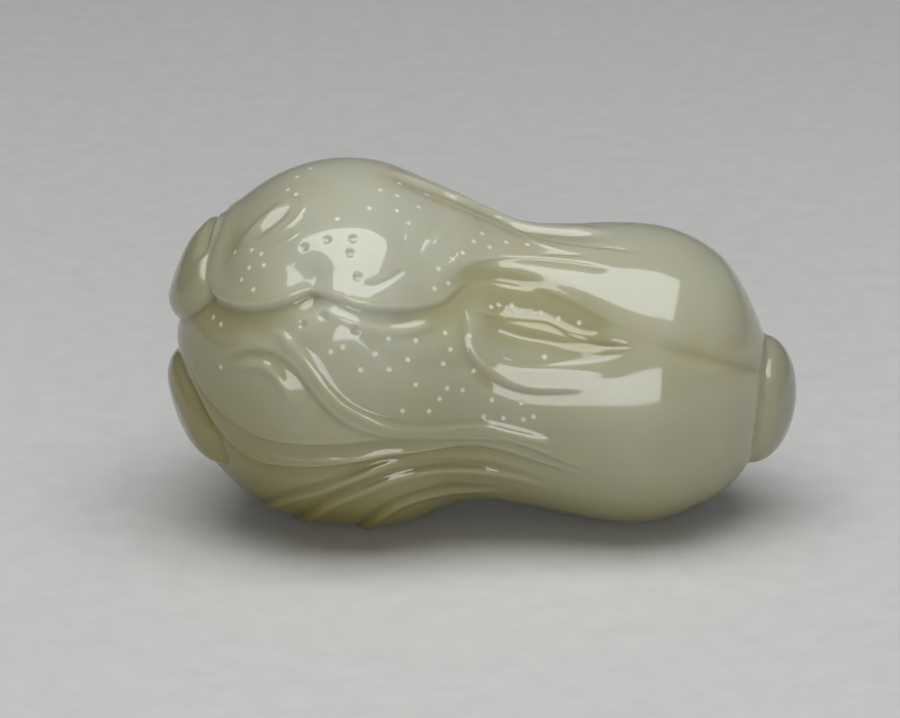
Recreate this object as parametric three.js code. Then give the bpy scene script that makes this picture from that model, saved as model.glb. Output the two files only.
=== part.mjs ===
// A jade cabbage, carved from one pebble: a round leafy head, a waist, a smooth
// bulb of stalks and a short stem stub. It lies on its side with its leaves to
// the left and its stub to the right. Millimetres, +Z up, +X toward the stub,
// origin on the ground under the middle of the carving.
import * as THREE from 'three';
import { mergeVertices } from 'three/addons/utils/BufferGeometryUtils.js';

// The long axis: it starts in the middle of the head and drops toward the stub.
const LEAN = THREE.MathUtils.degToRad(7);
const HEAD_X = -10.97;
const HEAD_Z = 14.4;

// Distances along the axis from the middle of the head, and radii around it.
const HEAD = { left: 13.1, right: 16.8, radius: 14.6, depth: 0.93, blend: 9 };
const WAIST = { at: 13.5, radius: 11.2 };
const BULB = { at: 22.9, radius: 11.92, end: 11.1, depth: 0.97, rise: 0.12 };
const STUB = { at: 33, radius: 5.15, tip: 3.12, drop: 0.92, dropFrom: 28.5 };
const SAG = { at: 5.5, reach: 5, drop: 0.42 };

// The side that the leaf edges are drawn from: 20 degrees above the horizon.
const VIEW_UP = THREE.MathUtils.degToRad(20);
const VIEW_FROM = 350;
const VIEW_MIDDLE = { x: -2.57, up: 12.1 };

const TRIANGLES = 9500;
const NET_DETAIL = 70;
const GROUND_SNAP = 0.004;

const AXIS = new THREE.Vector3(Math.cos(LEAN), 0, -Math.sin(LEAN));
const RISE = new THREE.Vector3(Math.sin(LEAN), 0, Math.cos(LEAN));
const FRONT = new THREE.Vector3(0, -1, 0);
const HEAD_MIDDLE = new THREE.Vector3(HEAD_X, 0, HEAD_Z);
const LENGTH_START = -HEAD.left;
const LENGTH_END = STUB.at + STUB.tip;

const VIEW_RIGHT = new THREE.Vector3(1, 0, 0);
const VIEW_TOP = new THREE.Vector3(0, Math.sin(VIEW_UP), Math.cos(VIEW_UP));
const VIEW_AHEAD = new THREE.Vector3(0, Math.cos(VIEW_UP), -Math.sin(VIEW_UP));
const EYE = new THREE.Vector3()
  .addScaledVector(VIEW_RIGHT, VIEW_MIDDLE.x)
  .addScaledVector(VIEW_TOP, VIEW_MIDDLE.up)
  .addScaledVector(VIEW_AHEAD, -VIEW_FROM);

const { clamp, lerp, smoothstep } = THREE.MathUtils;

// Half of an ellipse's height at a distance from its middle.
function ellipse(distance, reach, height) {
  const ratio = clamp(distance / reach, -1, 1);
  return height * Math.sqrt(Math.max(0, 1 - ratio * ratio));
}

// The radius above and below the axis, from the leaf tips to the stub's tip.
function radiusAt(a) {
  if (a < 0) {
    return ellipse(a, HEAD.left, HEAD.radius);
  }
  if (a < HEAD.blend) {
    return ellipse(a, HEAD.right, HEAD.radius);
  }
  if (a < WAIST.at) {
    const from = ellipse(HEAD.blend, HEAD.right, HEAD.radius);
    const slope = -((HEAD.radius / HEAD.right) ** 2) * (HEAD.blend / from);
    const span = WAIST.at - HEAD.blend;
    const t = (a - HEAD.blend) / span;
    const ease = t * t * (3 - 2 * t);
    return lerp(from, WAIST.radius, ease) + slope * span * t * (1 - t) * (1 - t);
  }
  if (a < BULB.at) {
    return lerp(WAIST.radius, BULB.radius, smoothstep(a, WAIST.at, BULB.at));
  }
  const bulb = ellipse(a - BULB.at, BULB.end, BULB.radius);
  const stub = ellipse(Math.max(0, a - STUB.at), STUB.tip, STUB.radius);
  return Math.max(bulb, stub);
}

// How far the section's middle lies above the axis.
function middleAt(a) {
  const sag = 1 - smoothstep(Math.abs(a - SAG.at), 0, SAG.reach);
  const drop = smoothstep(a, STUB.dropFrom, STUB.at);
  const rise = smoothstep(a, WAIST.at, BULB.at);
  return BULB.rise * rise - SAG.drop * sag - STUB.drop * drop;
}

function depthAt(a) {
  return lerp(HEAD.depth, BULB.depth, smoothstep(a, HEAD.blend, BULB.at));
}

// A point of the smooth body. The place is a unit vector: x runs along the
// axis, y to the front and z upward.
function bodyPoint(place) {
  const a = lerp(LENGTH_START, LENGTH_END, (place.x + 1) / 2);
  const around = Math.max(1e-9, Math.hypot(place.y, place.z));
  const radius = radiusAt(a);
  return new THREE.Vector3()
    .copy(HEAD_MIDDLE)
    .addScaledVector(AXIS, a)
    .addScaledVector(RISE, middleAt(a) + (radius * place.z) / around)
    .addScaledVector(FRONT, (radius * depthAt(a) * place.y) / around);
}

function bodyNormal(place) {
  const helper = Math.abs(place.x) < 0.9 ? new THREE.Vector3(1, 0, 0) : new THREE.Vector3(0, 1, 0);
  const one = new THREE.Vector3().crossVectors(place, helper).normalize();
  const two = new THREE.Vector3().crossVectors(one, place).normalize();
  const step = 0.004;
  const along = (direction) => {
    const ahead = place.clone().addScaledVector(direction, step).normalize();
    const back = place.clone().addScaledVector(direction, -step).normalize();
    return bodyPoint(ahead).sub(bodyPoint(back));
  };
  const normal = new THREE.Vector3().crossVectors(along(one), along(two)).normalize();
  const outward = bodyPoint(place).sub(HEAD_MIDDLE);
  outward.addScaledVector(AXIS, -0.8 * outward.dot(AXIS));
  return normal.dot(outward) < 0 ? normal.negate() : normal;
}

// Less than zero inside the smooth body, about a distance near its surface.
function bodyField(point) {
  const offset = point.clone().sub(HEAD_MIDDLE);
  const a = offset.dot(AXIS);
  const up = offset.dot(RISE) - middleAt(a);
  const front = offset.dot(FRONT) / depthAt(a);
  const beyond = Math.max(LENGTH_START - a, a - LENGTH_END, 0);
  return Math.hypot(up, front) - radiusAt(a) + beyond;
}

function settle(point) {
  const step = 0.01;
  for (let turn = 0; turn < 8; turn += 1) {
    const value = bodyField(point);
    const slope = new THREE.Vector3();
    for (const key of ['x', 'y', 'z']) {
      const moved = point.clone();
      moved[key] += step;
      slope[key] = (bodyField(moved) - value) / step;
    }
    point.addScaledVector(slope, -value / Math.max(0.3, slope.lengthSq()));
  }
  return point;
}

// The point of the smooth body seen at a millimetres along the apparent axis
// and v across it, measured in the front view from the middle of the head.
function seen([a, v]) {
  const lean = Math.atan(Math.tan(LEAN) * Math.cos(VIEW_UP));
  const x = HEAD_X + a * Math.cos(lean) + v * Math.sin(lean);
  const up = HEAD_Z * Math.cos(VIEW_UP) - a * Math.sin(lean) + v * Math.cos(lean);
  const onPlane = new THREE.Vector3().addScaledVector(VIEW_RIGHT, x).addScaledVector(VIEW_TOP, up);
  const ray = onPlane.sub(EYE).normalize();
  let best = null;
  let least = Infinity;
  for (let distance = VIEW_FROM - 20; distance < VIEW_FROM + 20; distance += 0.2) {
    const point = EYE.clone().addScaledVector(ray, distance);
    const value = bodyField(point);
    if (value < least) {
      least = value;
      best = point;
    }
    if (value < 0) {
      break;
    }
  }
  return settle(best);
}

// The point of the smooth body at a millimetres along the axis and an angle
// around it: 0 faces the front, 90 is the top and 180 the back.
function around([a, degrees]) {
  const angle = THREE.MathUtils.degToRad(degrees);
  const radius = radiusAt(a);
  return new THREE.Vector3()
    .copy(HEAD_MIDDLE)
    .addScaledVector(AXIS, a)
    .addScaledVector(RISE, middleAt(a) + radius * Math.sin(angle))
    .addScaledVector(FRONT, radius * depthAt(a) * Math.cos(angle));
}

// The point of the head's end that lies so far to the front of the axis and so
// far above it.
function onEnd([front, above]) {
  const radius = Math.min(HEAD.radius, Math.hypot(front / HEAD.depth, above));
  const degrees = THREE.MathUtils.radToDeg(Math.atan2(above, front / HEAD.depth));
  return around([-ellipse(radius, HEAD.radius, HEAD.left), degrees]);
}

// A line on the body through points of the front view, after points given by
// their angle and before others given so, or through points of the head's end.
function line({ before = [], front = [], after = [], end = [], closed = false }) {
  const points = [...before.map(around), ...front.map(seen), ...after.map(around), ...end.map(onEnd)];
  const curve = new THREE.CatmullRomCurve3(points, closed, 'centripetal');
  const steps = Math.ceil(curve.getLength() / 0.5);
  return curve.getSpacedPoints(steps).map(settle);
}

// The edges of the leaves: the leaf is on the left of the line's direction.
// It has a lip as high as lift, or is rounded off where lift is below zero, and
// sink is the depth of the trough beyond it.
const LEAF_EDGES = [
  {
    name: 'upper leaf, scalloped',
    before: [[-4, 215], [-7, 190], [-8.5, 165], [-9.8, 140]],
    front: [
      [-10.6, 8.6], [-11.2, 6.4], [-11.5, 4.4], [-10.9, 2.5], [-9.2, 1.8], [-7.0, 1.9],
      [-4.8, 2.7], [-3.0, 3.6], [-1.4, 3.3], [1.0, 2.8], [4.5, 3.1], [7.2, 4.0], [9.2, 5.7],
      [11.5, 6.3],
    ],
    lift: 0.2, sink: 0.4, width: 0.3, inner: 1.8, outer: 3.2, fade: [5, 5.4],
  },
  {
    name: 'its edge along the stalk',
    front: [[7.2, 4.0], [9.2, 5.7], [11.5, 6.3], [14.5, 6.1], [17.3, 5.4], [21.0, 4.0], [25.5, 2.4]],
    lift: -0.22, sink: 0.4, width: 0.3, inner: 1.3, outer: 4.6, fade: [5.4, 9],
  },
  {
    name: 'rounding on the right of its front lobe',
    front: [[3.6, 2.9], [5.4, 3.3], [7.2, 4.0], [9.2, 5.7], [11.5, 6.3], [14.5, 6.1], [16.0, 5.8]],
    lift: -0.32, sink: 0, width: 0.3, inner: 1.8, outer: 0.3, fade: [2.5, 3.0],
  },
  {
    name: 'long fold of the stalk above it',
    front: [[7.8, 5.8], [9.0, 7.1], [11.0, 7.9], [14.0, 8.3], [17.5, 8.4], [20.6, 8.2]],
    lift: 0, sink: 0.1, width: 0.13, inner: 0.3, outer: 0.9, fade: [3.5, 1.5],
  },
  {
    name: 'leaf along the top',
    front: [
      [0.6, 13.7], [2.9, 13.5], [4.9, 13.0], [6.6, 12.6], [8.3, 12.1], [10.0, 11.6], [11.2, 11.2],
      [12.4, 10.8], [14.0, 10.6], [15.6, 10.6], [17.5, 10.7], [19.2, 10.8], [21.0, 11.0],
    ],
    lift: 0.25, sink: 0.22, width: 0.5, inner: 1.6, outer: 2.0, fade: [5, 4],
  },
  {
    name: 'middle leaf',
    front: [
      [-9.4, -2.1], [-7.6, -1.4], [-5.4, -1.5], [-3.8, -2.5], [-2.3, -4.1], [-0.7, -5.6],
      [1.4, -6.7], [4.5, -7.2], [8.0, -7.0], [11.5, -6.5], [14.5, -6.5], [18.0, -7.3], [23.3, -8.5],
    ],
    lift: 0.2, sink: 0.1, width: 0.3, inner: 1.6, outer: 1.6, fade: [3, 8],
  },
  {
    name: 'round leaf below it',
    front: [
      [-12.3, -2.6], [-11.3, -4.5], [-9.7, -6.3], [-7.7, -7.6], [-5.6, -8.4], [-3.0, -8.6],
      [0.5, -8.2], [3.7, -7.6], [6.5, -7.2],
    ],
    lift: 0.2, sink: 0.13, width: 0.3, inner: 2.2, outer: 1.1, fade: [3, 5],
  },
  {
    name: 'lower leaf',
    front: [
      [-12.2, -3.9], [-10.8, -6.2], [-9.2, -8.2], [-7.6, -9.5], [-5.6, -10.4], [-3.0, -10.5],
      [0.0, -10.1], [3.0, -9.3], [6.5, -8.3], [10.5, -7.2], [14.0, -7.3], [17.5, -7.9], [21.5, -8.7],
    ],
    lift: 0.14, sink: 0.25, width: 0.3, inner: 1.1, outer: 1.3, fade: [3, 8],
  },
  {
    name: 'first fold underneath',
    front: [[6.7, -8.7], [4.4, -9.4], [2.0, -10.6], [-0.6, -12.0], [-3.3, -13.1]],
    after: [[-5.2, -86]],
    lift: 0.12, sink: 0.2, width: 0.25, inner: 0.9, outer: 0.9, fade: [3, 3],
  },
  {
    name: 'second fold underneath',
    front: [
      [19.3, -10.0], [16.4, -9.3], [13.5, -8.9], [10.7, -8.9], [8.1, -9.3], [5.4, -10.2],
      [2.4, -11.8], [-0.4, -13.5],
    ],
    after: [[-2.6, -84], [-4, -98]],
    lift: 0.18, sink: 0.25, width: 0.28, inner: 1.1, outer: 1.1, fade: [8, 4],
  },
  {
    name: 'third fold underneath',
    front: [[15.0, -10.4], [11.5, -10.6], [8.5, -11.2], [6.2, -12.2], [4.2, -13.6]],
    after: [[2.2, -85], [0.4, -100]],
    lift: 0.18, sink: 0.25, width: 0.28, inner: 1.0, outer: 1.0, fade: [6, 4],
  },
  {
    name: 'left edge of the slot in the stalk',
    front: [
      [20.5, -1.6], [17.6, -2.0], [15.2, -2.2], [13.1, -1.9], [11.2, -0.9], [10.0, 0.4],
      [9.5, 2.3], [9.4, 4.3],
    ],
    lift: 0.11, sink: 0.1, width: 0.25, inner: 1.1, outer: 1.0, fade: [5, 2.5],
    rightHanded: true,
  },
  {
    name: 'lower border of the slot',
    front: [
      [24.8, 2.2], [22.4, 1.5], [20.4, 0.9], [18.5, 0.4], [16.1, -0.1], [13.7, -0.3], [12.2, 0.0],
      [11.1, 0.6], [10.5, 1.4],
    ],
    lift: 0.1, sink: 0, width: 0.22, inner: 1.2, outer: 0.5, fade: [6, 2],
  },
  {
    name: 'upper thin leaf in the slot',
    front: [
      [9.7, 3.5], [10.9, 3.5], [12.5, 3.4], [14.1, 3.4], [15.5, 3.5], [16.4, 3.3], [17.6, 2.8],
      [19.0, 2.5], [21.1, 2.4], [23.5, 2.5],
    ],
    lift: 0, sink: 0.16, width: 0.2, inner: 0.5, outer: 3.1, fade: [2, 3],
  },
  {
    name: 'lower thin leaf in the slot',
    front: [
      [10.4, 2.7], [11.4, 2.3], [12.7, 2.0], [14.3, 1.7], [15.9, 1.6], [17.1, 1.5], [19.5, 1.6],
      [23.9, 2.0],
    ],
    lift: -0.22, sink: 0.13, width: 0.18, inner: 1.2, outer: 1.6, fade: [2, 3],
  },
  {
    name: 'back leaf, scalloped',
    before: [
      [27, 205], [22, 200], [17, 193], [12, 186], [8.5, 189], [5.5, 198], [2, 200], [-0.5, 192],
      [-2.5, 193], [-5, 203], [-8, 205], [-10.4, 190],
    ],
    lift: 0.35, sink: 0.45, width: 0.3, inner: 2.4, outer: 1.8, fade: [9, 4],
  },
  {
    name: 'lower back leaf',
    before: [
      [24, 238], [18, 234], [12, 226], [7, 229], [3, 240], [-1, 244], [-4.5, 238], [-7.5, 240],
      [-10.4, 232],
    ],
    lift: 0.28, sink: 0.35, width: 0.3, inner: 2, outer: 1.6, fade: [8, 4],
  },
];

// The thick leaf tips on the end of the head: cushions inside a closed outline,
// which rise to their full height over the rounding. One lies under a leaf.
const TIPS = [
  {
    name: 'upper tip',
    end: [
      [4.0, 7.7], [2.2, 9.1], [-0.4, 9.5], [-2.8, 9.1], [-4.6, 7.6], [-5.2, 5.4], [-4.6, 3.1],
      [-3.2, 1.3], [-1.0, 0.6], [1.2, 0.8], [3.6, 1.8], [5.2, 3.0], [6.1, 4.4], [5.8, 5.9],
    ],
    thick: 1.15, rounding: 1.8, width: 0.2, sink: 0.15, under: 'upper leaf, scalloped',
  },
  {
    name: 'lower tip',
    end: [
      [4.4, -2.3], [5.4, -2.9], [6.7, -3.7], [7.6, -5.0], [7.9, -6.6], [7.4, -8.2], [5.9, -9.1],
      [4.0, -9.1], [1.6, -8.0], [-0.8, -6.3], [-2.2, -4.6], [-1.4, -2.9], [0.9, -2.0], [2.9, -1.8],
    ],
    thick: 0.95, rounding: 2.4, width: 0.2, sink: 0.15,
  },
  {
    name: 'back tip',
    end: [
      [-5.0, -0.8], [-4.9, -3.6], [-6.0, -6.4], [-8.0, -7.6], [-9.6, -6.0], [-10.4, -3.0],
      [-10.2, 0.4], [-8.8, 2.6], [-6.8, 2.0],
    ],
    thick: 0.6, rounding: 1.4, width: 0.2, sink: 0.1,
  },
];

// Rounded ridges (height above zero) and grooves (below zero), drawn as lines.
const WRINKLES = [
  { name: 'brow under the scalloped edge', height: 0.2, width: 0.35, fade: 2,
    front: [[-2.5, 2.6], [-1.2, 2.0], [0.6, 1.5], [3.0, 1.3], [5.4, 1.7], [7.3, 2.5]] },
  { name: 'fold of the middle leaf', height: 0.22, width: 0.38, fade: 3,
    front: [[-6.7, 0.4], [-5.2, 0.0], [-4.1, -0.8], [-3.0, -1.7], [-2.1, -2.7], [-1.1, -3.8], [0.2, -4.9],
      [1.9, -5.7], [3.9, -6.2], [6.0, -6.3], [8.3, -6.0], [11.5, -5.4], [13.9, -5.6], [18.7, -6.1]] },
  { name: 'hollow inside the middle leaf', height: -0.12, width: 0.8, fade: 3,
    front: [[-8.5, -0.3], [-6.0, -0.6], [-4.4, -1.6], [-3.0, -3.1], [-1.4, -4.8], [0.8, -6.1], [4.0, -6.7]] },
  { name: 'rim of the round leaf', height: 0.3, width: 0.42, fade: 2.5,
    front: [[-9.1, -3.1], [-8.0, -2.8], [-6.7, -2.6], [-5.8, -2.8], [-5.1, -3.2], [-4.5, -3.9],
      [-4.0, -4.8], [-3.8, -5.8]] },
  { name: 'vein of the left lobe', height: 0.3, width: 0.55, fade: 2.5,
    front: [[-9.7, 6.1], [-8.8, 7.2], [-8.0, 8.2], [-7.2, 9.2], [-6.3, 10.1], [-5.6, 11.1]] },
  { name: 'groove beside it', height: -0.12, width: 0.3, fade: 1.5,
    front: [[-8.5, 6.7], [-7.6, 7.6], [-6.8, 8.5], [-6.0, 9.5], [-5.3, 10.5]] },
  { name: 'hollow by the left rim', height: -0.25, width: 1.0, fade: 3,
    front: [[-9.6, 8.6], [-9.9, 7.0], [-10.1, 5.4], [-9.9, 4.2]] },
  { name: 'crease beside the upper tip', height: -0.45, width: 0.5, fade: 1.5,
    before: [[-9.9, 150], [-10.2, 125]], front: [[-10.9, 8.7], [-11.3, 7.0], [-11.7, 4.6]] },
  { name: 'fuller rounding of the front lobe', height: 0.2, width: 1.3, fade: 2.2,
    front: [[-5.2, 5.4], [-4.5, 6.7], [-3.3, 7.7], [-1.6, 8.3], [0.3, 8.6], [1.8, 8.1], [2.6, 6.8],
      [3.4, 5.6]] },
  { name: 'notch between two scallops', height: -0.5, width: 1.2, fade: 2.5,
    front: [[-3.1, 1.2], [-3.0, 3.0], [-2.9, 4.4], [-2.6, 5.8], [-2.2, 6.8]] },
  { name: 'crease of the front lobe', height: -0.1, width: 0.25, fade: 1.2,
    front: [[0.4, 4.4], [1.6, 4.5], [2.7, 5.1], [3.7, 5.9], [4.3, 6.3]] },
  { name: 'hollow of the slot', height: -0.42, width: 1.15, fade: 2.5,
    front: [[10.3, 4.5], [12.5, 4.4], [14.1, 4.35], [15.6, 4.2], [16.8, 3.8], [18.0, 3.4], [19.5, 3.1],
      [21.5, 2.9]] },
  { name: 'seam between two stalks', height: -0.18, width: 0.6, fade: 4,
    front: [[23.0, 2.9], [26.5, 2.3], [30.0, 1.9], [33.3, 1.7], [35.0, 1.6]] },
  { name: 'back seam between two stalks', height: -0.3, width: 0.6, fade: 6,
    before: [[12, 212], [20, 214], [28, 212], [33, 208]] },
  { name: 'vein of the back lobe', height: 0.35, width: 0.9, fade: 3,
    before: [[-8, 172], [-5, 158], [-1, 148], [3, 142]] },
  { name: 'second vein of the back lobe', height: 0.3, width: 0.8, fade: 3,
    before: [[-4, 184], [0, 176], [4, 168], [8, 160]] },
  { name: 'fold on top', height: -0.3, width: 0.8, fade: 4,
    before: [[4, 118], [8, 112], [13, 108], [19, 106]] },
  { name: 'back fold of the stalk', height: -0.3, width: 0.7, fade: 4,
    before: [[8, 150], [13, 146], [19, 146], [25, 150]] },
];

// Lobes of the leaves that swell out between their edges.
const SWELLS = [
  { name: 'front lobe', front: [0.2, 4.2], height: 0.6, reach: 4.2 },
  { name: 'left lobe', front: [-7.3, 4.2], height: 0.35, reach: 2.6 },
  { name: 'below the front lobe', front: [0.0, 1.6], height: 0.5, reach: 2.1 },
  { name: 'round leaf', front: [-5.8, -5.4], height: 0.12, reach: 3.0 },
  { name: 'lower front of the bulb', front: [20.3, -5.6], height: 0.36, reach: 5.0 },
];

function prepareLines(list) {
  for (const item of list) {
    item.path = line(item);
    item.lengths = [0];
    for (let index = 1; index < item.path.length; index += 1) {
      const step = item.path[index].distanceTo(item.path[index - 1]);
      item.lengths.push(item.lengths[index - 1] + step);
    }
    item.ball = new THREE.Box3().setFromPoints(item.path).getBoundingSphere(new THREE.Sphere());
  }
}

for (const tip of TIPS) {
  tip.closed = true;
}
prepareLines(LEAF_EDGES);
prepareLines(TIPS);
prepareLines(WRINKLES);
for (const swell of SWELLS) {
  swell.middle = seen(swell.front);
}

// The nearest point of a line: its distance, the distance run along the line
// and the side, more than zero on the left as seen from outside.
function nearest(item, point, normal, reach) {
  if (item.ball.distanceToPoint(point) > reach) {
    return null;
  }
  let found = null;
  let least = reach * reach;
  for (let index = 1; index < item.path.length; index += 1) {
    const from = item.path[index - 1];
    const to = item.path[index];
    const stepX = to.x - from.x;
    const stepY = to.y - from.y;
    const stepZ = to.z - from.z;
    let x = point.x - from.x;
    let y = point.y - from.y;
    let z = point.z - from.z;
    const along = x * stepX + y * stepY + z * stepZ;
    const part = clamp(along / (stepX * stepX + stepY * stepY + stepZ * stepZ), 0, 1);
    x -= part * stepX;
    y -= part * stepY;
    z -= part * stepZ;
    const square = x * x + y * y + z * z;
    if (square < least) {
      least = square;
      const turn =
        normal.x * (stepY * z - stepZ * y) +
        normal.y * (stepZ * x - stepX * z) +
        normal.z * (stepX * y - stepY * x);
      found = {
        distance: Math.sqrt(square),
        run: lerp(item.lengths[index - 1], item.lengths[index], part),
        side: turn >= 0 ? 1 : -1,
      };
    }
  }
  return found;
}

function fading(item, run, [start, end]) {
  const total = item.lengths.at(-1);
  return smoothstep(run, 0, start) * smoothstep(total - run, 0, end);
}

function leafEdgeHeight(edge, point, normal) {
  const near = nearest(edge, point, normal, edge.width + Math.max(edge.inner, edge.outer));
  if (!near) {
    return 0;
  }
  const across = near.distance * near.side * (edge.rightHanded ? -1 : 1);
  const lip = edge.lift * (1 - smoothstep(across, edge.width, edge.width + edge.inner));
  const trough = -edge.sink * (1 - smoothstep(-across, edge.width, edge.width + edge.outer));
  const height = lerp(trough, lip, smoothstep(across, -edge.width, edge.width));
  return height * fading(edge, near.run, edge.fade);
}

// Whether a point lies inside a tip's outline, seen from the end of the head.
function insideTip(tip, point) {
  const offset = point.clone().sub(HEAD_MIDDLE);
  if (offset.dot(AXIS) >= 0) {
    return false;
  }
  const front = offset.dot(FRONT);
  const above = offset.dot(RISE);
  let inside = false;
  for (let index = 1; index < tip.path.length; index += 1) {
    const from = tip.path[index - 1].clone().sub(HEAD_MIDDLE);
    const to = tip.path[index].clone().sub(HEAD_MIDDLE);
    const low = from.dot(RISE);
    const high = to.dot(RISE);
    if (low > above !== high > above) {
      const crossing = lerp(from.dot(FRONT), to.dot(FRONT), (above - low) / (high - low));
      inside = front < crossing ? !inside : inside;
    }
  }
  return inside;
}

function tipHeight(tip, point, normal) {
  const near = nearest(tip, point, normal, tip.rounding);
  const depth = (near ? near.distance : tip.rounding) * (insideTip(tip, point) ? 1 : -1);
  const part = clamp((depth + tip.width) / (tip.rounding + tip.width), 0, 1);
  const rise = tip.thick * (1 - (1 - part) ** 2);
  const crease = tip.sink * Math.exp(-(((depth + tip.width) / (2 * tip.width)) ** 2));
  return (rise - crease) * shownPart(tip, point, normal);
}

// How much of a tip shows beside the leaf that it lies under: 1 outside that
// leaf's edge and 0 inside it.
function shownPart(tip, point, normal) {
  const upper = LEAF_EDGES.find((edge) => edge.name === tip.under);
  const near = upper ? nearest(upper, point, normal, 6) : null;
  if (!near) {
    return 1;
  }
  return 1 - smoothstep(near.distance * near.side, -upper.width, upper.width);
}

function wrinkleHeight(wrinkle, point, normal) {
  const near = nearest(wrinkle, point, normal, wrinkle.width * 3);
  if (!near) {
    return 0;
  }
  const section = Math.exp(-((near.distance / wrinkle.width) ** 2));
  return wrinkle.height * section * fading(wrinkle, near.run, [wrinkle.fade, wrinkle.fade]);
}

// How far the carving stands above the smooth body.
function reliefHeight(point, normal) {
  let height = 0;
  for (const edge of LEAF_EDGES) {
    height += leafEdgeHeight(edge, point, normal);
  }
  for (const tip of TIPS) {
    height += tipHeight(tip, point, normal);
  }
  for (const wrinkle of WRINKLES) {
    height += wrinkleHeight(wrinkle, point, normal);
  }
  for (const swell of SWELLS) {
    const distance = point.distanceTo(swell.middle);
    height += swell.height * Math.exp(-((distance / swell.reach) ** 2));
  }
  return height;
}

// A point of the carved surface. Where it would pass below the ground it is
// ground flat, which leaves the two spots that the carving rests on.
function carvedPoint(place) {
  const normal = bodyNormal(place);
  const point = bodyPoint(place);
  point.addScaledVector(normal, reliefHeight(point, normal));
  point.z = Math.max(0, point.z);
  return point;
}

// The carved surface as an even net of small triangles.
function carve() {
  const ball = new THREE.IcosahedronGeometry(1, NET_DETAIL);
  ball.deleteAttribute('normal');
  ball.deleteAttribute('uv');
  const net = mergeVertices(ball, 1e-4);
  const points = [];
  for (let index = 0; index < net.attributes.position.count; index += 1) {
    const place = new THREE.Vector3().fromBufferAttribute(net.attributes.position, index).normalize();
    points.push(carvedPoint(place));
  }
  // The front of the ball's places is -Y, so its triangles are turned round to face out.
  const triangles = [];
  for (let index = 0; index < net.index.count; index += 3) {
    triangles.push([net.index.getX(index), net.index.getX(index + 2), net.index.getX(index + 1)]);
  }
  return { points, triangles };
}

// The sum of squared distances to planes, as the ten numbers of its matrix.
function planeSum(normal, offset, weight) {
  const { x, y, z } = normal;
  return [x * x, x * y, x * z, x * offset, y * y, y * z, y * offset, z * z, z * offset, offset * offset]
    .map((value) => value * weight);
}

function planeError(sum, { x, y, z }) {
  return (
    sum[0] * x * x + 2 * sum[1] * x * y + 2 * sum[2] * x * z + 2 * sum[3] * x +
    sum[4] * y * y + 2 * sum[5] * y * z + 2 * sum[6] * y + sum[7] * z * z + 2 * sum[8] * z + sum[9]
  );
}

// The point with the least distance to the planes, if it lies near the edge.
function bestPoint(sum, one, two) {
  const matrix = new THREE.Matrix3().set(
    sum[0], sum[1], sum[2], sum[1], sum[4], sum[5], sum[2], sum[5], sum[7],
  );
  const middle = one.clone().add(two).multiplyScalar(0.5);
  if (Math.abs(matrix.determinant()) > 1e-7) {
    const point = new THREE.Vector3(-sum[3], -sum[6], -sum[8]).applyMatrix3(matrix.invert());
    if (point.distanceTo(middle) < one.distanceTo(two)) {
      return point;
    }
  }
  const choices = [middle, one, two];
  choices.sort((left, right) => planeError(sum, left) - planeError(sum, right));
  return choices[0].clone();
}

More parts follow.
